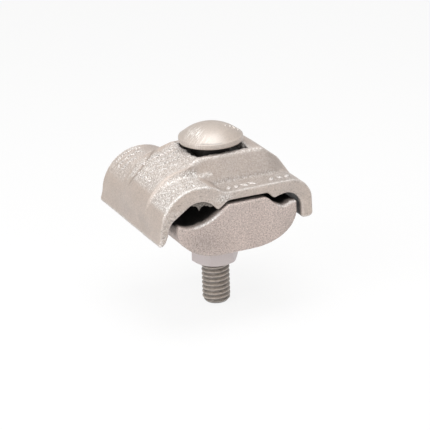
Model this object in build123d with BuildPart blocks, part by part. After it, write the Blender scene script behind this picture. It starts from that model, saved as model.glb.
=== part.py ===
"""Parallel groove clamp: two cast jaws with a large and a small conductor groove, drawn
together by one round-head square-neck bolt with a spring lock washer and a hex nut.

Frame: millimetres, +Z up along the bolt axis, both conductors parallel to Y. The origin is on
the main conductor's axis, halfway along the big groove. The outlines below are drawn from the
bolt axis and the web's underside, and each finished solid is moved into the frame at the end.
"""
import os
from math import atan, cos, degrees, radians, sin, sqrt, tan

from build123d import *

# ---- driving dimensions, mm ----
# both jaws
jaw_length = 49.8  # along the conductors
end_round = 0.5  # rounding of the edges round both end faces
end_draft = 2.5  # degrees, the upper jaw's end faces lean in towards the top

# upper jaw: web and big groove
web_thick = 3.1
big_x = -15.7  # axis of the big groove and of the crown over it
crown_z = -7.7  # height of the crown's axis
crown_radius = 14.2  # outside of the big groove's hood
crown_arc_mid = 115.0  # degrees, a point on that outside arc
big_groove_radius = 7.2
big_groove_top = 1.2  # ceiling of the big groove above the web's underside
big_wall_slope = 33.0  # degrees, the groove's outer ceiling below level
big_wall_run = 5.6  # length of that sloping stretch
big_arc_mid = 80.0  # degrees, a point on the groove's ceiling arc
skirt_thick = 3.0
skirt_foot = -11.2
skirt_foot_width = 2.5
skirt_flare = 1.1  # how far the foot of the skirt stands out past the crown
skirt_inner_round = 1.9
skirt_outer_round = 0.75
ridge_run = 4.0  # how far the ridge's flank reaches along the web
ridge_angle = 28.0  # degrees round the big groove, where its ridge ends
ridge_round = 0.8
ridge_root_round = 1.6
valley_round = 3.0  # where the crown meets the web

# upper jaw: small groove
small_x = 15.3
small_groove_radius = 5.2
small_groove_top = -1.4
small_ridge_x = 10.95
small_ridge_depth = 2.3
small_ridge_run = 2.35
lip_thick = 4.3
lip_foot = -10.9
lip_outer_round = 1.7
lip_inner_round = 0.85
small_crown_radius = 7.9
quarter_mid = 45.0  # degrees, halfway round a quarter circle

# upper jaw: raised saddle under the bolt head
saddle_top = 10.8
saddle_half = 10.2  # half length of its level top
saddle_slope = 0.75  # outward run of its end faces for each mm down
saddle_left = -9.9  # left end of the level top
saddle_right = 13.2  # right end of the level top
saddle_knee_x = 20.2  # knee of the right-hand roof
saddle_knee_z = 5.6
saddle_root_x = -7.2  # left end of its root, inside the web
roof_land_angle = 12.0  # degrees round the small crown, where the roof lands
roof_root_angle = 60.0  # degrees round the small crown, end of the roof's root
strap_rise = 2.1  # height of the strap over the crown
strap_fade = 1.0  # shift of the strap's axis, which lets it die into the skirt
strap_arc = 88.0  # degrees that it runs round the crown
strap_root = 0.6  # how deep it is rooted in the crown
saddle_corner = 2.6  # rounding of its right-hand corners in plan
strap_back = 12.8  # where the strap's back edge leaves the saddle
strap_slant = 28.0  # degrees, that edge turns forward on its way down

# bolt opening
pocket_x = 19.2
pocket_y = 16.2
pocket_deep = 2.5
neck_clearance = 0.4  # each side of the square neck
shank_clearance = 0.7  # round the shank in the lower jaw

# lower jaw
plateau_gap = 1.0  # web underside to the lower jaw's plateau
plateau_left = -5.7
plateau_right = 8.2
lower_bottom = -18.2
wall_gap_left = 3.0  # skirt wall to lower jaw
wall_gap_right = 1.5  # lip wall to lower jaw
cup_x = -18.6  # lowest line of the big cup
cup_deep = 5.6  # below the plateau
cup_lip_deep = 3.2  # its outer lip below the plateau
cup_flank_x = -9.1
cup_flank_deep = 2.4
notch_x = 13.9  # lowest line of the small cup
notch_deep = 4.1
notch_lip_deep = 3.1
notch_lip_width = 2.2
notch_flank_share = 0.65  # part of the notch's depth that its steep flank takes
hull_run = 16.0  # width of the rounded quarter below each side
lower_end_round = 0.7
hull_shoulder = -7.5  # height where the rounded quarters start
seat_radius = 9.3  # flat seat under the lock washer
lip_round = 0.8
plateau_round = 1.2
plateau_right_round = 3.0

# 3/8 inch fasteners
bolt_radius = 4.73
bolt_length = 57.15
head_radius = 10.72
head_rim = 2.0
head_height = 6.0
rim_foot_inset = 0.6  # the rim's underside inside its widest line
rim_edge_rise = 0.8  # the rim's widest line above its underside
rim_top_inset = 0.5  # the dome's edge inside that line
head_lift = 1.7  # the clamp is loose: head above the saddle
neck_width = 9.6
neck_length = 5.4
bolt_tip = 1.2  # chamfer at the end, along the shank
bolt_tip_inset = 0.84
neck_corner = 0.8
nut_across_flats = 14.29
nut_height = 8.33
nut_clearance = 0.06
nut_turn = -5.4  # degrees, where the nut happens to stand
nut_chamfer_radius = 6.4
nut_chamfer_angle = 30.0
nut_cone_share = 0.6  # reach of the chamfer cones, past the corners, by the width
washer_inner = 5.0
washer_outer = 8.65
washer_thick = 2.39
washer_spring = 1.1  # free rise of the split ends
washer_split = 12.0  # degrees
seat_gap = 0.1

# ---- derived places ----
head_under = saddle_top + head_lift
lip_inner_x = small_x + small_groove_radius
lip_outer_x = lip_inner_x + lip_thick
small_axis = (lip_outer_x - small_crown_radius, web_thick - small_crown_radius)
big_groove_z = big_groove_top - big_groove_radius
small_groove_z = small_groove_top - small_groove_radius
skirt_outer_x = big_x - crown_radius
skirt_inner_x = skirt_outer_x + skirt_thick
skirt_foot_inner = skirt_outer_x - skirt_flare + skirt_foot_width
plateau_z = -plateau_gap
conductor_x = (big_x + cup_x) / 2
conductor_z = (big_groove_top + plateau_z - cup_deep) / 2
lower_left_x = skirt_inner_x + wall_gap_left
lower_right_x = lip_inner_x - wall_gap_right
washer_height = washer_thick + washer_spring
nut_top = lower_bottom - washer_height - 2 * seat_gap
shank_end = head_under - bolt_length


def polar(center, radius, degrees):
    """Point on a circle in the XZ outline."""
    return (center[0] + radius * cos(radians(degrees)), center[1] + radius * sin(radians(degrees)))


def round_corner(point, radius):
    """Fillet the current sketch at its vertex nearest to this point of the outline."""
    place = Vector(point[0], point[1], 0)
    corner = vertices().sort_by(lambda v: (v.center() - place).length)[0]
    fillet(corner, radius=radius)


# ---- saddle: raised roof that carries the bolt head ----
strap_axis = (big_x + strap_fade, crown_z + strap_fade)
strap_radius = crown_radius + strap_rise - strap_fade
strap_top = strap_axis[1] + strap_radius
small_roof_start = (small_axis[0] + small_crown_radius * cos(radians(roof_land_angle)),
                    small_axis[1] + small_crown_radius * sin(radians(roof_land_angle)))
wall_middle = web_thick / 2

with BuildPart() as saddle:
    with BuildSketch(Plane.XZ):
        with BuildLine():
            Polyline(
                (strap_axis[0], crown_z + crown_radius - wall_middle),
                (strap_axis[0], strap_top),
                (saddle_left, saddle_top),
                (saddle_right, saddle_top),
                (saddle_knee_x, saddle_knee_z),
            )
            roof_end = Line((saddle_knee_x, saddle_knee_z), small_roof_start)
            inner_end = polar(small_axis, small_crown_radius - wall_middle, roof_land_angle)
            Line(roof_end @ 1, inner_end)
            root_end = polar(small_axis, small_crown_radius - wall_middle, roof_root_angle)
            Line(inner_end, root_end)
            Polyline(
                root_end,
                (small_axis[0], wall_middle),
                (saddle_root_x, wall_middle),
                (strap_axis[0], crown_z + crown_radius - wall_middle),
            )
        make_face()
    extrude(amount=jaw_length / 2, both=True)
    plan_length = 4 * saddle_knee_x
    plan_end = saddle_knee_x - saddle_slope * (saddle_top - saddle_knee_z)
    with BuildSketch(Plane.XY.offset(saddle_top)):
        with Locations((plan_end - plan_length / 2, 0)):
            RectangleRounded(plan_length, 2 * saddle_half, saddle_corner)
    extrude(
        amount=small_axis[1] - saddle_top,
        taper=-degrees(atan(saddle_slope)),
        mode=Mode.INTERSECT,
    )

# ---- strap: low band that runs from the saddle down over the big crown ----
with BuildPart() as strap:
    strap_half = saddle_half + saddle_slope * (saddle_top - strap_top)
    strap_inner = strap_radius - strap_rise - strap_root
    with BuildSketch(Plane.YZ.offset(strap_axis[0])):
        with BuildLine():
            drop = strap_radius - strap_inner
            Polyline(
                (-strap_half, strap_top),
                (strap_half, strap_top),
                (strap_half + saddle_slope * drop, strap_top - drop),
                (-strap_half - saddle_slope * drop, strap_top - drop),
                close=True,
            )
        make_face()
    revolve(axis=Axis((strap_axis[0], 0, strap_axis[1]), (0, -1, 0)), revolution_arc=strap_arc)
    with BuildSketch(Plane.XY.offset(skirt_foot)):
        with BuildLine():
            back_run = 2 * crown_radius
            Polyline(
                (strap_axis[0], strap_back),
                (strap_axis[0] - back_run, strap_back - back_run * sin(radians(strap_slant))),
                (strap_axis[0] - back_run, jaw_length),
                (strap_axis[0], jaw_length),
                close=True,
            )
        make_face()
    extrude(amount=jaw_length, mode=Mode.SUBTRACT)

# ---- upper jaw ----
with BuildPart() as upper_jaw:
    with BuildSketch(Plane.XZ):
        with BuildLine():
            crown = (big_x, crown_z)
            web_meets = big_x + sqrt(crown_radius**2 - (web_thick - crown_z) ** 2)
            Line((skirt_outer_x - skirt_flare, skirt_foot), (skirt_outer_x, crown_z))
            hood = ThreePointArc(
                (skirt_outer_x, crown_z), polar(crown, crown_radius, crown_arc_mid), (web_meets, web_thick)
            )
            Line(hood @ 1, (small_axis[0], web_thick))
            ThreePointArc(
                (small_axis[0], web_thick),
                polar(small_axis, small_crown_radius, quarter_mid),
                (lip_outer_x, small_axis[1]),
            )
            Polyline(
                (lip_outer_x, small_axis[1]),
                (lip_outer_x, lip_foot),
                (lip_inner_x, lip_foot),
                (lip_inner_x, small_groove_z),
            )
            small_groove = (small_x, small_groove_z)
            ThreePointArc(
                (lip_inner_x, small_groove_z),
                polar(small_groove, small_groove_radius, quarter_mid),
                (small_x, small_groove_top),
            )
            TangentArc(
                (small_x, small_groove_top), (small_ridge_x, -small_ridge_depth), tangent=(-1, 0)
            )
            big_groove = (big_x, big_groove_z)
            ridge_tip = polar(big_groove, big_groove_radius, ridge_angle)
            Polyline(
                (small_ridge_x, -small_ridge_depth),
                (small_ridge_x - small_ridge_run, 0),
                (ridge_tip[0] + ridge_run, 0),
                ridge_tip,
            )
            ceiling_end = polar(big_groove, big_groove_radius, 90 + big_wall_slope)
            ceiling_mid = polar(big_groove, big_groove_radius, big_arc_mid)
            ThreePointArc(ridge_tip, ceiling_mid, ceiling_end)
            slope = Line(
                ceiling_end,
                (
                    ceiling_end[0] - big_wall_run * cos(radians(big_wall_slope)),
                    ceiling_end[1] - big_wall_run * sin(radians(big_wall_slope)),
                ),
            )
            shoulder = TangentArc(slope @ 1, (skirt_inner_x, crown_z), tangent=slope % 1)
            Polyline(
                shoulder @ 1,
                (skirt_foot_inner, skirt_foot),
                (skirt_outer_x - skirt_flare, skirt_foot),
            )
        make_face()
        round_corner((web_meets, web_thick), valley_round)
        round_corner((skirt_foot_inner, skirt_foot), skirt_inner_round)
        round_corner((skirt_outer_x - skirt_flare, skirt_foot), skirt_outer_round)
        round_corner((lip_outer_x, lip_foot), lip_outer_round)
        round_corner((lip_inner_x, lip_foot), lip_inner_round)
        round_corner(ridge_tip, ridge_round)
        round_corner((ridge_tip[0] + ridge_run, 0), ridge_root_round)
        round_corner((small_ridge_x, -small_ridge_depth), ridge_round)
        round_corner((small_ridge_x - small_ridge_run, 0), ridge_root_round)
    extrude(amount=jaw_length / 2, both=True)
    top_half = jaw_length / 2 - (saddle_top - skirt_foot) * tan(radians(end_draft))
    with BuildSketch(Plane.YZ):
        with BuildLine():
            Polyline(
                (-jaw_length / 2, skirt_foot),
                (-top_half, saddle_top),
                (top_half, saddle_top),
                (jaw_length / 2, skirt_foot),
                close=True,
            )
        make_face()
    extrude(amount=2 * crown_radius + lip_outer_x, both=True, mode=Mode.INTERSECT)
    end_faces = faces().sort_by(Axis.Y)
    fillet(end_faces[0].edges() + end_faces[-1].edges(), radius=end_round)
    add(strap.part)
    add(saddle.part)
    pocket_floor = saddle_top - pocket_deep
    with BuildSketch(Plane.XY.offset(saddle_top)):
        Rectangle(pocket_x, pocket_y)
    extrude(amount=-pocket_deep, mode=Mode.SUBTRACT)
    with BuildSketch(Plane.XY.offset(pocket_floor)):
        Rectangle(neck_width + 2 * neck_clearance, neck_width + 2 * neck_clearance)
    extrude(amount=-(pocket_floor + web_thick), mode=Mode.SUBTRACT)

# ---- lower jaw ----
with BuildPart() as lower_jaw:
    with BuildSketch(Plane.XZ):
        with BuildLine():
            hull_drop = hull_shoulder - lower_bottom
            hull_left = lower_left_x + hull_run
            hull_right = lower_right_x - hull_run
            lip_left = (lower_left_x, plateau_z - cup_lip_deep)
            flank = (cup_flank_x, plateau_z - cup_flank_deep)
            cup = (cup_x, plateau_z - cup_deep)
            TangentArc(cup, lip_left, tangent=(-1, 0))
            TangentArc(cup, flank, tangent=(1, 0))
            notch_flank = ((plateau_right + notch_x) / 2, plateau_z - notch_deep * notch_flank_share)
            notch_lip = (lower_right_x - notch_lip_width, plateau_z - notch_lip_deep)
            notch = (notch_x, plateau_z - notch_deep)
            lip_right = (lower_right_x, notch_lip[1])
            Polyline(flank, (plateau_left, plateau_z), (plateau_right, plateau_z), notch_flank, notch)
            TangentArc(notch, notch_lip, tangent=(1, 0))
            Polyline(notch_lip, lip_right, (lower_right_x, hull_shoulder))
            EllipticalCenterArc(
                (hull_right, hull_shoulder), hull_run, hull_drop, start_angle=270, arc_size=90
            )
            Line((hull_right, lower_bottom), (hull_left, lower_bottom))
            EllipticalCenterArc(
                (hull_left, hull_shoulder), hull_run, hull_drop, start_angle=180, arc_size=90
            )
            Line((lower_left_x, hull_shoulder), lip_left)
        make_face()
        round_corner(lip_left, lip_round)
        round_corner(lip_right, lip_round)
        round_corner(notch_lip, lip_round)
        round_corner((plateau_left, plateau_z), plateau_round)
        round_corner((plateau_right, plateau_z), plateau_right_round)
        round_corner(notch_flank, plateau_round)
        round_corner(notch, plateau_round)
    extrude(amount=jaw_length / 2, both=True)
    fillet(faces().filter_by(Axis.Y).edges(), radius=lower_end_round)
    with BuildSketch(Plane.XY.offset(lower_bottom)):
        Circle(seat_radius)
    extrude(amount=hull_drop / 2)
    with BuildSketch(Plane.XY.offset(lower_bottom)):
        Circle(bolt_radius + shank_clearance)
    extrude(amount=plateau_z - lower_bottom, mode=Mode.SUBTRACT)

# ---- carriage bolt ----
with BuildPart() as carriage_bolt:
    dome_edge = (head_radius - rim_top_inset, head_under + head_rim)
    with BuildSketch(Plane.XZ):
        with BuildLine():
            Polyline(
                (0, head_under),
                (head_radius - rim_foot_inset, head_under),
                (head_radius, head_under + rim_edge_rise),
                dome_edge,
            )
            dome_rise = head_height - head_rim
            dome_radius = (dome_edge[0] ** 2 + dome_rise**2) / (2 * dome_rise)
            RadiusArc(dome_edge, (0, head_under + head_height), -dome_radius)
            Line((0, head_under + head_height), (0, head_under))
        make_face()
    revolve(axis=Axis.Z)
    with BuildSketch(Plane.XY.offset(head_under)):
        RectangleRounded(neck_width, neck_width, neck_corner)
    extrude(amount=-neck_length)
    with BuildSketch(Plane.XY.offset(head_under)):
        Circle(bolt_radius)
    extrude(amount=-bolt_length)
    chamfer(edges().group_by(Axis.Z)[0], length=bolt_tip, length2=bolt_tip_inset)

# ---- spring lock washer ----
with BuildPart() as lock_washer:
    washer_mean = (washer_inner + washer_outer) / 2
    turn = 1 - washer_split / 360
    washer_low = nut_top + seat_gap + washer_thick / 2
    coil = Helix(
        pitch=washer_spring / turn, height=washer_spring, radius=washer_mean, center=(0, 0, washer_low)
    )
    with BuildSketch(Plane(origin=coil @ 0, x_dir=(1, 0, 0), z_dir=(0, 1, 0))):
        Rectangle(washer_outer - washer_inner, washer_thick)
    sweep(path=coil, is_frenet=True)

# ---- hex nut ----
with BuildPart() as hex_nut:
    with BuildSketch(Plane.XY.offset(nut_top)):
        RegularPolygon(nut_across_flats / 2, 6, major_radius=False, rotation=nut_turn)
        Circle(bolt_radius + nut_clearance, mode=Mode.SUBTRACT)
    extrude(amount=-nut_height)
    with BuildSketch(Plane.XZ):
        with BuildLine():
            cone_run = nut_cone_share * nut_across_flats
            cone_rise = (cone_run - nut_chamfer_radius) * tan(radians(nut_chamfer_angle))
            Polyline(
                (0, nut_top),
                (nut_chamfer_radius, nut_top),
                (cone_run, nut_top - cone_rise),
                (cone_run, nut_top - nut_height + cone_rise),
                (nut_chamfer_radius, nut_top - nut_height),
                (0, nut_top - nut_height),
                close=True,
            )
        make_face()
    revolve(axis=Axis.Z, mode=Mode.INTERSECT)

# ---- into the frame ----
row_frame = Pos(-conductor_x, 0, -conductor_z)
nodes = {
    "upper_jaw": upper_jaw,
    "lower_jaw": lower_jaw,
    "carriage_bolt": carriage_bolt,
    "lock_washer": lock_washer,
    "hex_nut": hex_nut,
}

os.makedirs("parts", exist_ok=True)
for name, builder in nodes.items():
    solid = row_frame * builder.part
    solid.label = name
    export_step(solid, f"parts/{name}.step")
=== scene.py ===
"""Looks of the parallel groove clamp: cast and galvanised jaws, a scratched bolt head, a rolled
thread, a smooth nut, a plain pale studio and the camera. The scene is in metres. Places on the
clamp are in millimetres, from the bolt axis and up from the underside of the upper jaw's web."""
import math

import bmesh
import bpy
import numpy as np
from mathutils import Matrix, Vector, noise
from mathutils.bvhtree import BVHTree


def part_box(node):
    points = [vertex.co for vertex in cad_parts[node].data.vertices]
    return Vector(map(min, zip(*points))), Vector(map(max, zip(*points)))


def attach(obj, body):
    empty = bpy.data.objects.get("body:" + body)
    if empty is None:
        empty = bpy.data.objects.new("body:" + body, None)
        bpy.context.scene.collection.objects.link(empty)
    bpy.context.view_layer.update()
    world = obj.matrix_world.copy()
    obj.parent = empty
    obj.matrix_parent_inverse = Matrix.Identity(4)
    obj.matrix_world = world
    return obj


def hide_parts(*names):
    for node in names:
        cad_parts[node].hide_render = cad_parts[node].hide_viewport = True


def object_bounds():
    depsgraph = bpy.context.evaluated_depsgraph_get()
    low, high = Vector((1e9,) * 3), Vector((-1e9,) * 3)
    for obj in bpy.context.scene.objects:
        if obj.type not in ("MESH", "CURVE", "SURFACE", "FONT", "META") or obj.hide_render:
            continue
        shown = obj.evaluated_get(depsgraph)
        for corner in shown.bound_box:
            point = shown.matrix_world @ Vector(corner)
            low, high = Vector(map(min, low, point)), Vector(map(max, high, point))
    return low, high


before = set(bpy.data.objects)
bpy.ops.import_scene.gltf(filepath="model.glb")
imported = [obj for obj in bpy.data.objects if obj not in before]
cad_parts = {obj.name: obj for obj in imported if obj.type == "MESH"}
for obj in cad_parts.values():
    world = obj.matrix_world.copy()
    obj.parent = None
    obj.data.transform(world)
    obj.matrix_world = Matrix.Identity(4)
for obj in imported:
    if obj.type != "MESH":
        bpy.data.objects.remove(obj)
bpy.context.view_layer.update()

MM = 0.001

# ---------------------------------------------------------------- bolt sizes, metres
PITCH = 25.4 / 16 * MM
THREAD_RADIUS = 4.73 * MM
THREAD_DEPTH = 0.82 * MM
THREAD_LENGTH = 26.5 * MM
THREAD_FADE = 2.5 * PITCH  # run-out at the upper end
ROOT_FLAT = 0.14  # part of half a pitch that is flat at the root
FLANK = 0.66  # part of half a pitch that the flank takes
TIP_LENGTH = 1.2 * MM  # chamfer at the end
TIP_INSET = 0.95 * MM
NECK_HALF = 4.8 * MM
NECK_LENGTH = 5.4 * MM
NECK_BEVEL = 0.6 * MM
HEAD_HEIGHT = 6.0 * MM
HEAD_RIM = 2.0 * MM
HEAD_CORNER = 0.55 * MM  # rounding below the rim
HEAD_TOP = 18.5 * MM  # above the underside of the upper jaw's web
DOME_INSET = 0.5 * MM  # the dome's edge inside the rim
RIM_EDGE = ((0.0, 0.40), (0.12, 0.14), (0.36, 0.06))  # mm inside the rim, mm below its top

# The clamp's own coordinates start on the bolt axis, at the underside of the web. HOME is that
# point in the frame.
bolt_low, bolt_high = (Vector(corner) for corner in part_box("carriage_bolt"))
HOME = Vector(((bolt_low.x + bolt_high.x) / 2, 0, bolt_high.z - HEAD_TOP))
HEAD_RADIUS = (bolt_high.x - bolt_low.x) / 2
BOLT_END = bolt_low.z - HOME.z
HEAD_UNDER = HEAD_TOP - HEAD_HEIGHT

# ---------------------------------------------------------------- places on the jaws, millimetres
HALF_LENGTH = 24.9  # along the grooves
END_SLOPE = math.tan(math.radians(2.5))  # lean of the upper jaw's end faces
SKIRT_FOOT = -11.2  # level where that jaw has its full length
BIG_X, CROWN_Z = -15.7, -7.7  # axis of the hood over the big groove
HOOD_INSIDE = 12.4  # nearer to that axis than this is the hood's inside
HOOD_OUTSIDE = 14.0  # and farther than this its outer face
HOOD_RIGHT = -9.0  # where the hood runs into the web
CEILING_RADIUS, CEILING_Z = 7.2, -6.0  # arc of the big groove's ceiling
POCKET = (9.6, 8.1)  # half width and half length of the pocket under the bolt head
# the pocket's walls get painted black shade up to this level
POCKET_SHADE_TOP = 10.2  # level up to which its walls are dark
STRAP_FRONT = -10.85  # y of the bright band along its front edge
STRAP_BACK = ((-13.5, 12.8), (-14.7, 11.9), (-17.1, 9.6), (-21.5, 5.4), (-24.9, 3.7), (-27.5, 4.7))
CROWN_STRIP = (-27, -12, -24, -13)  # from x to x, from y to y
SADDLE_LEFT = (-26, -9, -10, 8)
HOOD_BACK = (-27, -17, 11, 24)
WEB_STRIP = (-6, 20, -23, -16)
WEB_FRONT = (-8, 19, -24.2, -16)
SEAM_X = 10.2  # mould seam on the lower jaw's ends

# Rows of worn bars where the real casting carries its raised text. Each row is (start x, start y,
# end x, end y, count, bar length, bar width), seen from above.
JAW_MARKS = (
    (-16.5, 21.5, -25.5, 21.5, 12, 2.2, 0.6), (-17.5, 18.2, -26.0, 18.2, 11, 2.2, 0.6),
    (-20.5, 14.9, -26.0, 14.9, 8, 2.0, 0.6),
    (-11.5, 5.5, -22.5, 5.5, 15, 2.4, 0.6), (-11.0, 1.6, -23.5, 1.6, 16, 2.4, 0.6),
    (-12.0, -2.3, -24.0, -2.3, 15, 2.4, 0.6), (-14.5, -6.0, -20.5, -6.0, 8, 2.0, 0.6),
    (-24.8, 3.6, -24.8, -6.8, 7, 2.2, 0.6),
    (-14.0, -14.9, -23.0, -14.9, 10, 1.8, 0.5), (-15.0, -17.9, -24.5, -17.9, 12, 2.0, 0.5),
    (-16.0, -20.9, -25.5, -20.9, 12, 2.0, 0.5),
    (-5.0, -20.6, 6.0, -20.6, 4, 3.2, 1.5), (10.5, -20.2, 19.0, -20.2, 3, 2.8, 1.5),
)
HEAD_MARKS = ((3.8, -2.6, 9.0, -3.4, 4, 1.9, 0.8),)
MARK_HEIGHT = 0.38
ABOVE_ALL = 30  # level from which the marks are dropped onto their piece

# Ragged lower edge of the flash: (x, how far it hangs below the ceiling)
FLASH_EDGE = ((-18.2, 0.1), (-17.6, 0.6), (-17.0, 0.9), (-16.6, 1.1), (-16.1, 1.9), (-15.7, 2.8),
              (-15.3, 2.1), (-14.9, 1.5), (-14.4, 1.4), (-13.9, 0.9), (-13.3, 1.2), (-12.7, 0.9),
              (-12.1, 1.1), (-11.5, 0.9), (-11.0, 0.4), (-10.6, 0.1))
FLASH_ROOT = 0.5  # how far it reaches up into the casting

# ---------------------------------------------------------------- colours
# lighter zinc from rubbing, partly a painted sheen
RUBBED_SHEEN_ZINC = (0.53, 0.49, 0.46, 1)
# painted highlight on outward edges of the castings
EDGE_HIGHLIGHT_ZINC = (0.76, 0.73, 0.70, 1)
# painted glints, and the painted highlight on the wear band
GLINT_AND_WEAR_ZINC = (0.93, 0.91, 0.89, 1)
BOLT_WARM, BOLT_COOL = (0.43, 0.36, 0.308, 1), (0.415, 0.357, 0.312, 1)
BOLT_SCRATCH = (0.90, 0.88, 0.85, 1)
# lighter zinc with a painted sheen on the bolt head's raised marks
BOLT_RUBBED_SHEEN = (0.92, 0.90, 0.87, 1)
PURE_WHITE = (1, 1, 1, 1)
THREAD_STEEL = (0.44, 0.375, 0.32, 1)
NUT_COOL = (0.58, 0.52, 0.51, 1)


# ---------------------------------------------------------------- node helpers
class Nodes:
    """A short way to write a material's node tree."""

    def __init__(self, name):
        self.material = bpy.data.materials.new(name)
        self.material.use_nodes = True
        self.tree = self.material.node_tree
        self.tree.nodes.clear()
        self.output = self.add("ShaderNodeOutputMaterial")
        self.shader = self.add("ShaderNodeBsdfPrincipled")
        self.link(self.shader.outputs["BSDF"], self.output.inputs["Surface"])
        self.place = self.add("ShaderNodeTexCoord").outputs["Object"]

    def add(self, kind, **values):
        node = self.tree.nodes.new(kind)
        for key, value in values.items():
            setattr(node, key, value)
        return node

    def link(self, source, target):
        self.tree.links.new(source, target)

    def put(self, target, value):
        if isinstance(value, bpy.types.NodeSocket):
            self.link(value, target)
        else:
            target.default_value = value

    def noise(self, scale, detail=4.0, roughness=0.55, distortion=0.0, place=None):
        node = self.add("ShaderNodeTexNoise")
        self.link(place or self.place, node.inputs["Vector"])
        node.inputs["Scale"].default_value = scale
        node.inputs["Detail"].default_value = detail
        node.inputs["Roughness"].default_value = roughness
        node.inputs["Distortion"].default_value = distortion
        return node.outputs["Fac"]

    def stretched_noise(self, scale, turn, detail, roughness):
        """Noise on coordinates turned about Z by degrees, then scaled along each turned axis."""
        node = self.add("ShaderNodeMapping", vector_type="TEXTURE")
        self.link(self.place, node.inputs["Vector"])
        node.inputs["Scale"].default_value = [1.0 / value for value in scale]
        node.inputs["Rotation"].default_value = (0.0, 0.0, math.radians(turn))
        return self.noise(1.0, detail, roughness, place=node.outputs["Vector"])

    def ramp(self, value, low, high, start=0.0, end=1.0):
        """start to end as the value goes from low to high, and no further."""
        node = self.add("ShaderNodeMapRange", clamp=True)
        self.put(node.inputs["Value"], value)
        node.inputs["From Min"].default_value = low
        node.inputs["From Max"].default_value = high
        node.inputs["To Min"].default_value = start
        node.inputs["To Max"].default_value = end
        return node.outputs["Result"]

    def math(self, operation, a, b):
        node = self.add("ShaderNodeMath", operation=operation)
        self.put(node.inputs[0], a)
        self.put(node.inputs[1], b)
        return node.outputs[0]

    def times(self, a, b):
        return self.math("MULTIPLY", a, b)

    def larger(self, a, b):
        return self.math("MAXIMUM", a, b)

    def mix(self, factor, a, b):
        node = self.add("ShaderNodeMix", data_type="RGBA")
        self.put(node.inputs["Factor"], factor)
        self.put(node.inputs["A"], a)
        self.put(node.inputs["B"], b)
        return node.outputs["Result"]

    def shade(self, factor, color, low, high):
        """Multiply a colour by low to high as factor goes from 0 to 1."""
        grey = self.ramp(factor, 0.0, 1.0, low, high)
        node = self.add("ShaderNodeMix", data_type="RGBA", blend_type="MULTIPLY")
        node.inputs["Factor"].default_value = 1.0
        self.put(node.inputs["A"], color)
        self.link(grey, node.inputs["B"])
        return node.outputs["Result"]

    def cavity(self, distance):
        """0 deep in a recess, 1 on an open surface."""
        node = self.add("ShaderNodeAmbientOcclusion", samples=6)
        node.inputs["Distance"].default_value = distance
        return node.outputs["AO"]

    def edge(self):
        """Above 0.5 on outward edges, below on inward ones."""
        return self.add("ShaderNodeNewGeometry").outputs["Pointiness"]

    def attribute(self, name):
        return self.add("ShaderNodeAttribute", attribute_name=name).outputs["Fac"]

    def bump(self, layers):
        """Stack (height, strength, distance) layers of bump into the shader's normal."""
        normal = None
        for height, strength, distance in layers:
            node = self.add("ShaderNodeBump")
            node.inputs["Strength"].default_value = strength
            node.inputs["Distance"].default_value = distance
            self.link(height, node.inputs["Height"])
            if normal is not None:
                self.link(normal, node.inputs["Normal"])
            normal = node.outputs["Normal"]
        self.link(normal, self.shader.inputs["Normal"])

    def finish(self, color, roughness, metallic):
        self.put(self.shader.inputs["Base Color"], color)
        self.put(self.shader.inputs["Roughness"], roughness)
        self.put(self.shader.inputs["Metallic"], metallic)
        return self.material


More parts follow.
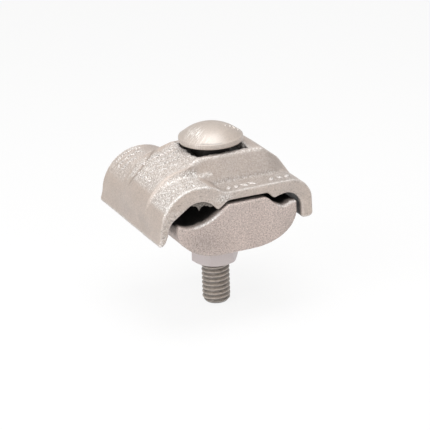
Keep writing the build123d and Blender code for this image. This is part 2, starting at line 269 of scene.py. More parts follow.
# ---------------------------------------------------------------- materials
def cast_zinc(name, warm, cool, grain, roughness, edge_highlight_gain):
    """Hot-dip galvanised casting: sandy grain, soft mottling, painted highlights on outward edges
    and painted shade in creases and recesses. Reads point values for lighter zinc from rubbing with
    painted glints, a band of wear with a painted highlight, painted black shade inside, darker
    patches that are partly painted shade, and pitted (dark specks)."""
    n = Nodes(name)
    mottle = n.noise(130, detail=5, roughness=0.6)
    cloud = n.noise(45, detail=3, roughness=0.5, distortion=0.4)
    sand = n.noise(2100, detail=3, roughness=0.75)
    fine = n.noise(4600, detail=2, roughness=0.6)
    rubbed_and_sheen = n.attribute("rubbed_and_sheen")
    wear_and_highlight = n.attribute("wear_and_highlight")
    color = n.mix(n.ramp(cloud, 0.35, 0.65), warm, cool)
    color = n.shade(n.ramp(mottle, 0.3, 0.7), color, 0.93, 1.06)
    color = n.shade(n.ramp(sand, 0.34, 0.64), color, 1.0 - grain, 1.0 + grain * 0.6)
    # lighter zinc from rubbing, partly a painted sheen
    color = n.mix(n.times(rubbed_and_sheen, 0.5), color, RUBBED_SHEEN_ZINC)
    # darker patches, partly painted shade
    color = n.shade(n.times(n.attribute("stain_and_shade"), 0.5), color, 1.0, 0.45)
    # painted highlight on outward edges and painted shade in inward creases
    crest = n.ramp(n.edge(), 0.51, 0.58)
    crease_shade = n.ramp(n.edge(), 0.40, 0.49, 1.0, 0.0)
    color = n.shade(crease_shade, color, 1.0, 0.58)
    color = n.mix(n.times(crest, edge_highlight_gain), color, EDGE_HIGHLIGHT_ZINC)
    specks = n.ramp(n.noise(1250, detail=3, roughness=0.7), 0.42, 0.34)
    color = n.shade(n.times(specks, n.attribute("pitted")), color, 1.0, 0.40)
    # a band of wear with a painted highlight
    band = n.times(wear_and_highlight, n.ramp(n.noise(1700, detail=4, roughness=0.75), 0.42, 0.58))
    rough_skin = n.stretched_noise((1400, 3200, 2200), 50, detail=2, roughness=0.6)
    dents = n.times(n.ramp(rough_skin, 0.46, 0.38), n.larger(rubbed_and_sheen, wear_and_highlight))
    color = n.shade(dents, color, 1.0, 0.76)
    # painted glints over the rubbing and along the wear band
    glint = n.larger(n.times(n.ramp(rough_skin, 0.50, 0.60), rubbed_and_sheen), band)
    color = n.mix(n.times(glint, 0.85), color, GLINT_AND_WEAR_ZINC)
    # painted shade in recesses
    color = n.shade(n.ramp(n.cavity(7 * MM), 0.10, 0.40), color, 0.45, 1.0)
    # painted black shade inside the closed grooves and the pocket, weaker where they open up
    closed = n.ramp(n.cavity(12 * MM), 0.55, 0.85, 1.0, 0.3)
    color = n.shade(n.times(n.attribute("painted_shade_inside"), closed), color, 1.0, 0.03)
    rough = n.ramp(sand, 0.3, 0.7, roughness - 0.08, roughness + 0.10)
    rough = n.math("SUBTRACT", rough, n.times(n.math("ADD", crest, glint), 0.14))
    n.bump([(cloud, 0.3, 0.6 * MM), (sand, 0.55, 0.16 * MM), (fine, 0.3, 0.06 * MM),
            (glint, 0.5, 0.14 * MM)])
    return n.finish(color, rough, 0.2)


def bolt_steel(name):
    """Galvanised bolt: satin zinc with scuffs on the head, darker steel in the thread, and painted
    shade in the thread's roots, along a fold at the head's rim, on the neck and in recesses. Reads
    point values for the scuffs, lighter zinc with a painted sheen on the marks, the thread, and the
    painted shades."""
    n = Nodes(name)
    cloud = n.noise(110, detail=4, roughness=0.5, distortion=0.3)
    fine = n.noise(2600, detail=3, roughness=0.7)
    along = n.stretched_noise((420, 4200, 420), 14, detail=2, roughness=0.6)
    across = n.stretched_noise((300, 3200, 300), 24, detail=2, roughness=0.6)
    lines = n.larger(n.ramp(along, 0.54, 0.62), n.ramp(across, 0.56, 0.64))
    scuff = n.times(lines, n.attribute("scuffed"))
    color = n.mix(n.ramp(cloud, 0.35, 0.65), BOLT_WARM, BOLT_COOL)
    color = n.shade(n.ramp(fine, 0.35, 0.65), color, 0.84, 1.10)
    color = n.mix(n.times(scuff, 0.75), color, BOLT_SCRATCH)
    # lighter zinc with a painted sheen on the raised marks
    color = n.mix(n.times(n.attribute("rubbed_and_sheen"), 0.3), color, BOLT_RUBBED_SHEEN)
    # painted shade along the fold at the head's rim
    color = n.shade(n.attribute("crease_line_shade"), color, 1.0, 0.45)
    threaded = n.attribute("threaded")
    color = n.mix(threaded, color, THREAD_STEEL)
    grime = n.ramp(n.noise(900, detail=3, roughness=0.7), 0.40, 0.60, 1.0, 0.0)
    color = n.shade(n.times(grime, threaded), color, 1.05, 0.72)
    # painted shade in the thread's roots
    color = n.shade(n.attribute("thread_root_shade"), color, 1.0, 0.5)
    # painted shade on the neck under the head
    color = n.shade(n.attribute("painted_shade_inside"), color, 1.0, 0.10)
    # painted shade in recesses
    color = n.shade(n.ramp(n.cavity(5 * MM), 0.1, 0.55), color, 0.12, 1.0)
    rough = n.ramp(cloud, 0.3, 0.7, 0.43, 0.50)
    rough = n.math("ADD", rough, n.times(threaded, 0.08))
    n.bump([(cloud, 0.2, 0.25 * MM), (fine, 0.25, 0.05 * MM), (scuff, 0.4, 0.08 * MM)])
    n.shader.inputs["Specular IOR Level"].default_value = 1.0
    n.shader.inputs["Coat Weight"].default_value = 0.7
    n.shader.inputs["Coat Roughness"].default_value = 0.38
    n.shader.inputs["Coat IOR"].default_value = 1.8
    return n.finish(color, rough, 0.17)


def nut_steel(name, warm):
    """Smooth zinc on the nut and the washer."""
    n = Nodes(name)
    cloud = n.noise(160, detail=4, roughness=0.5, distortion=0.3)
    fine = n.noise(3200, detail=3, roughness=0.6)
    color = n.mix(n.ramp(cloud, 0.35, 0.65), warm, NUT_COOL)
    color = n.shade(n.ramp(fine, 0.35, 0.65), color, 0.95, 1.03)
    # painted shade in recesses
    color = n.shade(n.ramp(n.cavity(4 * MM), 0.1, 0.5), color, 0.2, 1.0)
    rough = n.ramp(fine, 0.3, 0.7, 0.38, 0.5)
    n.bump([(cloud, 0.2, 0.2 * MM), (fine, 0.2, 0.04 * MM)])
    return n.finish(color, rough, 0.15)


upper_look = cast_zinc("upper_casting", (0.50, 0.415, 0.357, 1), (0.478, 0.41, 0.367, 1),
                       grain=0.22, roughness=0.42, edge_highlight_gain=0.40)
lower_look = cast_zinc("lower_casting", (0.54, 0.447, 0.407, 1), (0.52, 0.44, 0.405, 1),
                       grain=0.46, roughness=0.58, edge_highlight_gain=0.12)
# the flash is painted much darker than the casting: painted shade under the hood
flash_shaded_look = cast_zinc("flash_casting_shaded", (0.17, 0.145, 0.125, 1), (0.11, 0.095, 0.08, 1),
                       grain=0.70, roughness=0.60, edge_highlight_gain=0.0)
bolt_look = bolt_steel("bolt_steel")
nut_look = nut_steel("nut_steel", (0.58, 0.52, 0.52, 1))
washer_look = nut_steel("washer_steel", (0.50, 0.46, 0.43, 1))


# ---------------------------------------------------------------- mesh helpers
def new_object(name, data):
    """An object in the scene that shows the data."""
    piece = bpy.data.objects.new(name, data)
    bpy.context.collection.objects.link(piece)
    return piece


def object_from(work, name):
    """An object with the finished bmesh, which is freed."""
    mesh = bpy.data.meshes.new(name)
    work.to_mesh(mesh)
    work.free()
    return new_object(name, mesh)


def cad_copy(node, name):
    """A new object with the CAD node's mesh, welded and without its materials."""
    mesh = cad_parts[node].data.copy()
    work = bmesh.new()
    work.from_mesh(mesh)
    bmesh.ops.remove_doubles(work, verts=work.verts, dist=0.002 * MM)
    work.to_mesh(mesh)
    work.free()
    mesh.materials.clear()
    return new_object(name, mesh)


def apply_modifier(piece, kind, **values):
    modifier = piece.modifiers.new(kind.lower(), kind)
    for key, value in values.items():
        setattr(modifier, key, value)
    with bpy.context.temp_override(object=piece, active_object=piece, selected_objects=[piece]):
        bpy.ops.object.modifier_apply(modifier=modifier.name)


def cast_piece(node):
    """The casting's rounded skin: the CAD form with softened edges."""
    piece = cad_copy(node, node + "_casting")
    apply_modifier(piece, "REMESH", mode="VOXEL", voxel_size=0.40 * MM, use_smooth_shade=True)
    apply_modifier(piece, "SMOOTH", factor=0.5, iterations=3)
    return piece


def point_vectors(mesh, kind):
    """The mesh's points, kind "co", or their normals, kind "normal", as rows of three."""
    values = np.empty(len(mesh.vertices) * 3)
    mesh.vertices.foreach_get(kind, values)
    return values.reshape(-1, 3)


def on_clamp(points):
    """Rows x, y and z of the points' places on the clamp, in millimetres."""
    return ((points - np.array(HOME)) / MM).T


def put_points(mesh, node, points):
    """Move the mesh's points, and keep them in the CAD node's box."""
    low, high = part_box(node)
    mesh.vertices.foreach_set("co", np.clip(points, np.array(low), np.array(high)).ravel())
    mesh.update()


def point_values(mesh, name, values):
    layer = mesh.attributes.new(name, "FLOAT", "POINT")
    layer.data.foreach_set("value", np.asarray(values, dtype=np.float32))


def point_shares(mesh, name, values):
    """Point values held between 0 and 1."""
    point_values(mesh, name, np.clip(values, 0, 1))


def dress(piece, node, body, look):
    """Give a piece its look, and let it stand for a CAD node on its body."""
    piece.data.materials.clear()
    piece.data.materials.append(look)
    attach(piece, body)
    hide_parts(node)


def trim(piece, body, look):
    """A small piece that goes with a node without standing for it."""
    piece.data.materials.append(look)
    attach(piece, body)


# ---------------------------------------------------------------- masks over points
def ripple(points, scale, seed):
    """Soft noise of about -1 to 1 at each point, with scale waves to the metre."""
    shift = Vector((seed * 7.3, seed * 3.1, seed * 5.7))
    return np.array([noise.noise(Vector(p) * scale + shift) for p in points])


def step(value, start, end):
    """0 before start, 1 after end, smooth between."""
    t = np.clip((value - start) / (end - start), 0, 1)
    return t * t * (3 - 2 * t)


def ridge(value, middle, width):
    """1 at the middle, dying away over width to both sides."""
    return np.exp(-((value - middle) / width) ** 2)


def patch(x, y, area, soft):
    """1 inside a rectangle seen from above, fading over soft."""
    x0, x1, y0, y1 = area
    inside = step(x, x0 - soft, x0) * (1 - step(x, x1, x1 + soft))
    return inside * step(y, y0 - soft, y0) * (1 - step(y, y1, y1 + soft))


def near_path(x, y, path):
    """Distance from each point to a polyline seen from above."""
    least = np.full(len(x), np.inf)
    for (x0, y0), (x1, y1) in zip(path, path[1:]):
        run = np.array((x1 - x0, y1 - y0))
        part = np.clip(((x - x0) * run[0] + (y - y0) * run[1]) / (run @ run), 0, 1)
        least = np.minimum(least, np.hypot(x - x0 - part * run[0], y - y0 - part * run[1]))
    return least


# ---------------------------------------------------------------- upper jaw
def upper_skin(mesh):
    """Push the upper casting's skin in and out, and write where it shows wear, painted highlights
    and glints, darker patches, painted shade and pits.
    """
    points = point_vectors(mesh, "co")
    facing = point_vectors(mesh, "normal")
    x, y, z = on_clamp(points)
    upward = step(facing[:, 2], 0.3, 0.6)
    depth = HALF_LENGTH - (z - SKIRT_FOOT) * END_SLOPE - np.abs(y)
    hood_radius = np.hypot(x - BIG_X, z - CROWN_Z)
    outside = (hood_radius > HOOD_OUTSIDE) | (x > HOOD_RIGHT)

    # the rim of the pocket, the strap's groove, and the crests that show wear and a painted
    # highlight
    past_x = np.abs(x) - POCKET[0]
    past_y = np.abs(y) - POCKET[1]
    rim_out = np.maximum(past_x, past_y)
    rim = step(rim_out, -0.6, 0.0) * (1 - step(rim_out, 0.5, 1.6)) * step(z, 8.6, 9.6)
    groove = ridge(near_path(x, y, STRAP_BACK), 0, 0.60) * outside
    groove *= (x < STRAP_BACK[0][0]) * (z > -4)
    front_band = ridge(y, STRAP_FRONT, 0.5) * outside * (z > -2)
    front_band *= step(-x, 8.5, 11) * (1 - step(-x, 24.5, 27.5))
    saddle_crest = ridge(y, -10.2, 0.7) * ridge(z, 10.5, 1.0) * (x > -10) * (x < 14)
    hood_crest = (1 - step(depth, 0.5, 1.3)) * upward * outside * (z > -6)
    crown_crest = ridge(y, -13.7, 0.5) * (x < -6) * (x > -21) * (z > 2) * upward

    wobble = -0.12 + 0.10 * ripple(points, 110, 1) + 0.05 * ripple(points, 420, 2)
    wobble += 0.24 * (front_band + 0.8 * saddle_crest + 0.7 * crown_crest) * ripple(points, 650, 5)
    wobble += 0.10 * patch(x, y, CROWN_STRIP, 1) * upward * ripple(points, 700, 8) - 0.32 * groove
    points = points + facing * (wobble * MM)[:, None]
    bite = rim * ripple(points, 560, 6) * MM
    on_sides = np.abs(x) / POCKET[0] > np.abs(y) / POCKET[1]
    points[:, 0] += np.sign(x) * bite * on_sides
    points[:, 0] += 0.8 * MM * ridge(x, -POCKET[0], 1.4) * (np.abs(y) < 9) * (z > 6)
    points[:, 1] += np.sign(y) * bite * ~on_sides
    put_points(mesh, "upper_jaw", points)

    # painted black shade inside, from a ragged line behind each end, and on the pocket's walls
    ragged = depth + 0.7 * ripple(points, 520, 9)
    under_hood = (x < HOOD_RIGHT) & (hood_radius < HOOD_INSIDE)
    under_web = (x >= HOOD_RIGHT) & (x < 22.3) & (z < 1.5)
    under_web &= (facing[:, 0] < 0.35) & (facing[:, 2] < 0.35)
    in_pocket = (past_x < -0.2) & (past_y < -0.2) & (z > 1) & (z < POCKET_SHADE_TOP)
    painted_shade_inside = np.where(under_hood | under_web, step(ragged, 0.7, 2.4), 0.0)
    painted_shade_inside = np.where(in_pocket, 0.93 * step(POCKET_SHADE_TOP - z, 0.0, 0.9), painted_shade_inside)
    point_values(mesh, "painted_shade_inside", painted_shade_inside)

    # lighter zinc from rubbing with painted glints, and bands of wear with a painted highlight
    foot = 1 - step(z, -10.8, -9.6)
    end_face = step(np.abs(facing[:, 1]), 0.4, 0.8)
    ridge_end = ridge(x, -6.8, 2.6) * ridge(z, 1.3, 1.5) * end_face
    leg = end_face * (x < -19) * (z < 0)
    rubbed_and_sheen = 0.9 * patch(x, y, CROWN_STRIP, 1.2) + 0.7 * patch(x, y, SADDLE_LEFT, 1.5)
    rubbed_and_sheen += 0.35 * patch(x, y, HOOD_BACK, 1.5) + 0.25 * patch(x, y, WEB_STRIP, 1.5)
    rubbed_and_sheen = rubbed_and_sheen * step(facing[:, 2], 0.1, 0.4) + 0.5 * rim + 0.6 * foot + 0.9 * ridge_end
    rubbed_and_sheen += 0.04 + 0.25 * leg + 0.06 * end_face
    point_shares(mesh, "rubbed_and_sheen", rubbed_and_sheen * (1 - groove))
    band = 0.75 * front_band + 0.8 * saddle_crest + 0.9 * hood_crest * (x < -7)
    band += 0.55 * hood_crest + 0.7 * crown_crest + 0.4 * rim
    point_shares(mesh, "wear_and_highlight", band)

    # darker patches: painted shade on the saddle slope, along the slope's foot and in the strap's
    # groove, a darker web strip and left end; and dark specks
    slope = step(np.abs(facing[:, 1]), 0.35, 0.6) * step(z, 2.8, 3.8) * (1 - step(z, 9.9, 10.6))
    slope *= step(x, -18, -12) * (np.abs(y) < 20)
    slope_foot = step(-facing[:, 1], 0.3, 0.5) * step(-y, 11.2, 11.7) * (1 - step(-y, 12.9, 13.4))
    slope_foot *= (1 - step(x, -14, -9)) * (z > 3)
    stain_and_shade = 0.75 * patch(x, y, WEB_FRONT, 1.5) * (z < 4.5) * upward + 0.72 * slope
    stain_and_shade += 0.9 * groove + 0.8 * slope_foot * step(x, -22, -17) + 0.25 * (x < -24)
    point_values(mesh, "stain_and_shade", np.clip(stain_and_shade, 0, 2))
    point_shares(mesh, "pitted", 0.35 * end_face * (depth < 1) + 0.6 * leg + 0.8 * foot + 0.12)


upper = cast_piece("upper_jaw")
upper_skin(upper.data)
upper.data.shade_smooth()
dress(upper, "upper_jaw", "upper", upper_look)


# ---------------------------------------------------------------- raised marks
def bump_shape(work, place, up, along, length, width):
    """One raised mark ground down by wear: a low rounded bar lying on the surface."""
    side = up.cross(along).normalized()
    along = side.cross(up).normalized()
    axes = (along * length / 2, side * width / 2, up * MARK_HEIGHT)
    turn = (Matrix(axes) * MM).transposed().to_4x4()
    bmesh.ops.create_icosphere(work, subdivisions=2, radius=1.0,
                               matrix=Matrix.Translation(place) @ turn)


def raised_marks(name, base, rows, seed):
    """Rows of bars ground down by wear, dropped from above onto the base."""
    tree = BVHTree.FromObject(base, bpy.context.evaluated_depsgraph_get())
    dice = np.random.default_rng(seed)
    work = bmesh.new()
    for x0, y0, x1, y1, count, length, width in rows:
        run = Vector((x1 - x0, y1 - y0, 0)).normalized()
        for index in range(count):
            part = (index + 0.5) / count
            start = Vector((x0 + (x1 - x0) * part, y0 + (y1 - y0) * part, ABOVE_ALL))
            place, up, _, _ = tree.ray_cast(HOME + start * MM, Vector((0, 0, -1)))
            if place is None:
                continue
            lean = dice.uniform(-1.1, 1.1)
            across = Vector((-run.y, run.x, 0)) + run * lean
            size = dice.uniform(0.6, 1.15)
            bump_shape(work, place, up, across, length * size, width)
    piece = object_from(work, name)
    piece.data.shade_smooth()
    # the marks get lighter zinc with a painted sheen all over, and painted glints on the jaws
    point_values(piece.data, "rubbed_and_sheen", np.full(len(piece.data.vertices), 1.0))
    return piece


trim(raised_marks("upper_jaw_marks", upper, JAW_MARKS, 11), "upper", upper_look)


# ---------------------------------------------------------------- casting flash
def flash_fin(name):
    """Ragged casting flash that hangs from the big groove's ceiling, just inside the front."""
    dice = np.random.default_rng(3)
    work = bmesh.new()
    rows = []
    for x, hang in FLASH_EDGE:
        rise = math.sqrt(max(CEILING_RADIUS**2 - (x - BIG_X) ** 2, 0))
        ceiling = CEILING_Z + rise
        lean = dice.uniform(-0.25, 0.25)
        outline = ((-23.6, ceiling + FLASH_ROOT), (-24.0 + lean, ceiling - hang * 0.5),
                   (-23.7 + lean, ceiling - hang), (-23.3 + lean, ceiling - hang),
                   (-22.9, ceiling + FLASH_ROOT))
        rows.append([work.verts.new(HOME + Vector((x, y, z)) * MM) for y, z in outline])
    around = len(rows[0])
    for left, right in zip(rows, rows[1:]):
        for k in range(around):
            after = (k + 1) % around
            work.faces.new((left[k], left[after], right[after], right[k]))
    work.faces.new(rows[0][::-1])
    work.faces.new(rows[-1])
    bmesh.ops.recalc_face_normals(work, faces=work.faces)
    piece = object_from(work, name)
    piece.data.shade_smooth()
    # a little lighter zinc with painted glints
    point_values(piece.data, "rubbed_and_sheen", np.full(len(piece.data.vertices), 0.12))
    return piece


trim(flash_fin("upper_jaw_flash"), "upper", flash_shaded_look)


# ---------------------------------------------------------------- lower jaw
def lower_skin(mesh):
    """Push the lower casting's skin in and out, and write where it shows wear, painted highlights
    and glints, darker patches, painted shade and pits.
    """
    points = point_vectors(mesh, "co")
    facing = point_vectors(mesh, "normal")
    x, y, z = on_clamp(points)
    upward = step(facing[:, 2], 0.15, 0.5)
    depth = HALF_LENGTH - np.abs(y)
    ends = step(np.abs(facing[:, 1]), 0.7, 0.9)
    big_lip = (1 - step(depth, 0.9, 1.8)) * upward * (x > -18.5) * (x < -8) * (z > -8)
    small_lip = (1 - step(depth, 0.7, 1.5)) * upward * (x > 11.5) * (x < 20)
    seam = (1 - step(np.abs(x - SEAM_X), 0.1, 0.6)) * step(z, -13.5, -11.5) * ends

    wobble = -0.14 + 0.09 * ripple(points, 130, 3) + 0.05 * ripple(points, 450, 4)
    wobble += 0.03 * ripple(points, 1100, 7) + 0.20 * seam
    wobble += (0.18 * big_lip + 0.48 * small_lip) * ripple(points, 520, 10)
    put_points(mesh, "lower_jaw", points + facing * (wobble * MM)[:, None])

    # painted black shade inside, from a ragged line behind each end
    ragged = depth + 0.9 * ripple(points, 480, 12)
    top_side = step(facing[:, 2], 0.05, 0.35) * (z > -8.5)
    shut_in = 0.25 * step(ragged, 1.2, 2.2) + 0.75 * step(ragged, 2.2, 3.8)
    point_values(mesh, "painted_shade_inside", top_side * shut_in)

    # lighter zinc from rubbing with painted glints, a painted highlight along the groove lips,
    # darker patches and dark specks
    point_shares(mesh, "rubbed_and_sheen", 0.05 + 0.8 * small_lip + 0.5 * big_lip)
    point_shares(mesh, "wear_and_highlight", big_lip * (x < -9) * (x > -17.5) + 0.5 * small_lip)
    rim_grime = ridge(z, -5.5, 2.2) * ends * (x < -9)
    stain_and_shade = ridge(x, -14, 7.75) * ridge(z, -12.5, 5.1)
    stain_and_shade += 0.5 * ridge(x, 15, 5.48) * ridge(z, -14, 4.47)
    point_shares(mesh, "stain_and_shade", 0.7 * stain_and_shade)
    point_shares(mesh, "pitted", 0.25 + 0.5 * rim_grime + 0.5 * stain_and_shade)


lower = cast_piece("lower_jaw")
lower_skin(lower.data)
lower.data.shade_smooth()
dress(lower, "lower_jaw", "lower", lower_look)


# ---------------------------------------------------------------- bolt
def round_vert(work, radius, turn, height):
    return work.verts.new((radius * math.cos(turn), radius * math.sin(turn), height))


def lathe(work, profile, segments):
    """Closed surface of revolution from (radius, height) points that start and end on the axis."""
    rings = []
    for radius, height in profile:
        if radius < 1e-7:
            rings.append([work.verts.new((0, 0, height))])
            continue
        turns = [2 * math.pi * index / segments for index in range(segments)]
        rings.append([round_vert(work, radius, turn, height) for turn in turns])
    for low, high in zip(rings, rings[1:]):
        for index in range(segments):
            after = (index + 1) % segments
            if len(low) == 1:
                work.faces.new((low[0], high[after], high[index]))
            elif len(high) == 1:
                work.faces.new((low[index], low[after], high[0]))
            else:
                work.faces.new((low[index], low[after], high[after], high[index]))


def head_profile():
    """Rounded rim below, a fine step inside its top edge and a shallow dome."""
    rim_top = HEAD_UNDER + HEAD_RIM
    dome_edge = HEAD_RADIUS - DOME_INSET
    rise = HEAD_HEIGHT - HEAD_RIM
    ball = (dome_edge**2 + rise**2) / (2 * rise)
    profile = [(0, HEAD_UNDER), (HEAD_RADIUS * 0.6, HEAD_UNDER)]
    for degrees in range(-90, 1, 15):
        turn = math.radians(degrees)
        profile.append((HEAD_RADIUS - HEAD_CORNER + HEAD_CORNER * math.cos(turn),
                        HEAD_UNDER + HEAD_CORNER + HEAD_CORNER * math.sin(turn)))
    for inside, below in RIM_EDGE:
        profile.append((HEAD_RADIUS - inside * MM, rim_top - below * MM))
    dome_rings = 24
    for index in range(dome_rings):
        radius = dome_edge * (1 - index / dome_rings)
        profile.append((radius, HEAD_TOP - ball + math.sqrt(ball**2 - radius**2)))
    profile.append((0, HEAD_TOP))
    return profile


def square_neck(work, low, high):
    """The neck under the head: a box with beveled edges."""
    verts = bmesh.ops.create_cube(work, size=1.0)["verts"]
    for vert in verts:
        vert.co = Vector((vert.co.x * 2 * NECK_HALF, vert.co.y * 2 * NECK_HALF,
                          low + (vert.co.z + 0.5) * (high - low)))
    edges = [edge for edge in work.edges if edge.verts[0] in verts and edge.verts[1] in verts]
    bmesh.ops.bevel(work, geom=edges, offset=NECK_BEVEL, segments=3, affect="EDGES", profile=0.5)


def thread_surface(work, low, high, segments):
    """Shank with a helical thread, drawn as a height field over turn and height. Returns how
    deep in the thread each of its points is, from 0 to 1."""
    rings_to_pitch = 14
    count = int((high - low) / PITCH * rings_to_pitch)
    rows, root = [], []
    for row in range(count + 1):
        height = low + (high - low) * row / count
        taper = min(1.0, (height - low) / TIP_LENGTH)
        fade = min(1.0, max(0.0, (high - height) / THREAD_FADE))
        ring = []
        for index in range(segments):
            turn = 2 * math.pi * index / segments
            phase = (height / PITCH - turn / (2 * math.pi)) % 1.0
            crest = 1 - abs(2 * phase - 1)
            depth = 1 - min(1.0, max(0.0, (crest - ROOT_FLAT) / FLANK))
            radius = THREAD_RADIUS - THREAD_DEPTH * depth * fade
            radius = min(radius, THREAD_RADIUS - TIP_INSET * (1 - taper))
            ring.append(round_vert(work, radius, turn, height))
            root.append(depth * fade)
        rows.append(ring)
    for lower_row, upper_row in zip(rows, rows[1:]):
        for index in range(segments):
            after = (index + 1) % segments
            work.faces.new((lower_row[index], lower_row[after], upper_row[after], upper_row[index]))
    for ring in (rows[0][::-1], rows[-1]):
        center = work.verts.new((0, 0, ring[0].co.z))
        root.append(0.0)
        for index in range(segments):
            work.faces.new((center, ring[index], ring[(index + 1) % segments]))
    return root


def build_bolt(name):
    """Head, neck, shank and thread, as closed shells that run into each other."""
    neck_low = HEAD_UNDER - NECK_LENGTH
    thread_top = BOLT_END + THREAD_LENGTH
    shank_low = thread_top - 0.3 * MM
    shank_top = neck_low + 1.0 * MM
    work = bmesh.new()
    lathe(work, head_profile(), 96)
    square_neck(work, neck_low, HEAD_UNDER + 0.4 * MM)
    lathe(work, [(0, shank_low), (THREAD_RADIUS, shank_low),
                 (THREAD_RADIUS, shank_top), (0, shank_top)], 72)
    plain = len(work.verts)
    root = thread_surface(work, BOLT_END, thread_top, 72)
    bmesh.ops.recalc_face_normals(work, faces=work.faces)
    bmesh.ops.translate(work, verts=work.verts, vec=HOME)
    piece = object_from(work, name)
    mesh = piece.data
    # painted shade in the thread's roots
    point_values(mesh, "thread_root_shade", np.concatenate((np.zeros(plain), root)))
    point_values(mesh, "threaded", np.arange(len(mesh.vertices)) >= plain)
    x, y, z = on_clamp(point_vectors(mesh, "co"))
    head = z > HEAD_UNDER / MM - 0.1
    left = ridge(x, -6.6, 2.45) * ridge(y, -2.5, 4.24)
    right = ridge(x, 6.0, 2.65) * ridge(y, -1.5, 3)
    point_values(mesh, "scuffed", np.clip(1.2 * left + 0.3 * right + 0.03, 0, 1) * head)
    # painted shade along a fold inside the rim's top edge, only on the side toward the front
    crease_shade = ridge(np.hypot(x, y), HEAD_RADIUS / MM - 0.42, 0.16) * (z > 14)
    frontward = -0.385 * x - 0.8475 * y
    point_values(mesh, "crease_line_shade", crease_shade * step(frontward, 8.4, 9.4))
    # painted shade on the neck under the head
    point_values(mesh, "painted_shade_inside", ~head & (z > 0))
    mesh.shade_smooth()
    mesh.set_sharp_from_angle(angle=math.radians(50))
    return piece


bolt = build_bolt("carriage_bolt_steel")
dress(bolt, "carriage_bolt", "bolt", bolt_look)
trim(raised_marks("carriage_bolt_marks", bolt, HEAD_MARKS, 5), "bolt", bolt_look)

# ---------------------------------------------------------------- nut and washer
for node, body, look, bevel in (("hex_nut", "nut", nut_look, 0.35 * MM),
                                ("lock_washer", "lower", washer_look, 0.15 * MM)):
    piece = cad_copy(node, node + "_steel")
    apply_modifier(piece, "BEVEL", width=bevel, segments=3, limit_method="ANGLE",
                   angle_limit=math.radians(25), use_clamp_overlap=True)
    piece.data.shade_smooth()
    piece.data.set_sharp_from_angle(angle=math.radians(40))
    dress(piece, node, body, look)


# ---------------------------------------------------------------- stage, light, camera
def studio_world():
    """Even pale light, slightly stronger from above. The camera sees it as plain white."""
    world = bpy.data.worlds.new("studio")
    world.use_nodes = True
    tree = world.node_tree
    tree.nodes.clear()
    out = tree.nodes.new("ShaderNodeOutputWorld")
    mix = tree.nodes.new("ShaderNodeMixShader")
    soft = tree.nodes.new("ShaderNodeBackground")
    soft.inputs["Color"].default_value = (1.0, 0.99, 0.98, 1)
    direction = tree.nodes.new("ShaderNodeTexCoord")
    split = tree.nodes.new("ShaderNodeSeparateXYZ")
    height = tree.nodes.new("ShaderNodeMapRange")
    height.inputs["From Min"].default_value = -0.1
    height.inputs["From Max"].default_value = 0.9
    height.inputs["To Min"].default_value = 0.53
    height.inputs["To Max"].default_value = 0.60
    white = tree.nodes.new("ShaderNodeBackground")
    white.inputs["Color"].default_value = PURE_WHITE
    path = tree.nodes.new("ShaderNodeLightPath")
    tree.links.new(direction.outputs["Generated"], split.inputs[0])
    tree.links.new(split.outputs["Z"], height.inputs["Value"])
    tree.links.new(height.outputs["Result"], soft.inputs["Strength"])
    tree.links.new(path.outputs["Is Camera Ray"], mix.inputs["Fac"])
    tree.links.new(soft.outputs[0], mix.inputs[1])
    tree.links.new(white.outputs[0], mix.inputs[2])
    tree.links.new(mix.outputs[0], out.inputs["Surface"])
    return world


def floor_look(name):
    """Pale matt floor that keeps the shadow. Camera, glossy and transmission rays see it as
    mostly plain white."""
    n = Nodes(name)
    n.finish((0.8, 0.8, 0.8, 1), 0.9, 0.0)
    path = n.add("ShaderNodeLightPath")
    seen = n.larger(path.outputs["Is Glossy Ray"], path.outputs["Is Transmission Ray"])
    seen = n.larger(path.outputs["Is Camera Ray"], seen)
    glow = n.add("ShaderNodeEmission")
    glow.inputs["Color"].default_value = PURE_WHITE
    blend = n.add("ShaderNodeMixShader")
    n.link(n.times(seen, 0.85), blend.inputs["Fac"])
    n.link(n.shader.outputs["BSDF"], blend.inputs[1])
    n.link(glow.outputs[0], blend.inputs[2])
    n.link(blend.outputs[0], n.output.inputs["Surface"])
    return n.material


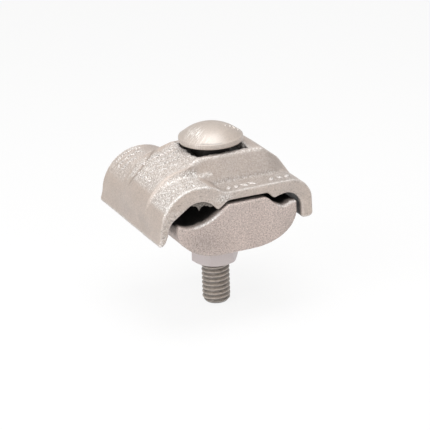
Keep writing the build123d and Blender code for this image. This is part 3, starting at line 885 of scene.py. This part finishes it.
def lamp(name, place, size, power):
    """A square softbox at a place seen from the clamp, in metres, aimed at it."""
    light = bpy.data.lights.new(name, "AREA")
    light.shape = "SQUARE"
    light.size = size
    light.energy = power
    piece = new_object(name, light)
    piece.location = HOME + Vector(place)
    piece.rotation_euler = (-Vector(place)).to_track_quat("-Z", "Y").to_euler()


def photo_camera(azimuth, elevation, roll, distance, view_width, aim_right, aim_up):
    """Camera at the photo's angle, in degrees and metres. view_width is the width of the square
    picture at the bolt head's seat. aim_right and aim_up say where that seat falls, as parts of
    the picture from its centre."""
    a, e, r = math.radians(azimuth), math.radians(elevation), math.radians(roll)
    forward = Vector((math.sin(a) * math.cos(e), math.cos(a) * math.cos(e), -math.sin(e)))
    level = Vector((math.cos(a), -math.sin(a), 0))
    upright = level.cross(forward)
    right = math.cos(r) * level + math.sin(r) * upright
    up = -math.sin(r) * level + math.cos(r) * upright
    data = bpy.data.cameras.new("camera")
    data.sensor_width = 36.0
    data.sensor_fit = "HORIZONTAL"
    data.lens = data.sensor_width * distance / view_width
    data.clip_start = 0.01
    seat = HOME + Vector((0, 0, HEAD_UNDER))
    place = seat - forward * distance - (right * aim_right + up * aim_up) * view_width
    turn = Matrix((right, up, -forward)).transposed().to_4x4()
    piece = new_object("camera", data)
    piece.matrix_world = Matrix.Translation(place) @ turn
    return piece


scene = bpy.context.scene
scene.view_settings.view_transform = "Standard"
scene.world = studio_world()
lamp("overhead", (-0.01, -0.05, 0.40), size=0.30, power=1.15)
lamp("left", (-0.34, -0.12, 0.22), size=0.25, power=0.8)
lamp("front", (-0.08, -0.45, 0.22), size=0.30, power=0.42)

clamp_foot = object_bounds()[0][2]
work = bmesh.new()
bmesh.ops.create_grid(work, x_segments=1, y_segments=1, size=1.5)
floor = object_from(work, "floor")
floor.location = (0, 0, clamp_foot - 0.2 * MM)
floor.data.materials.append(floor_look("floor_pale"))

scene.camera = photo_camera(azimuth=24.44, elevation=21.43, roll=-2.12, distance=0.70,
                            view_width=0.1415871, aim_right=-0.010093, aim_up=0.1749767)
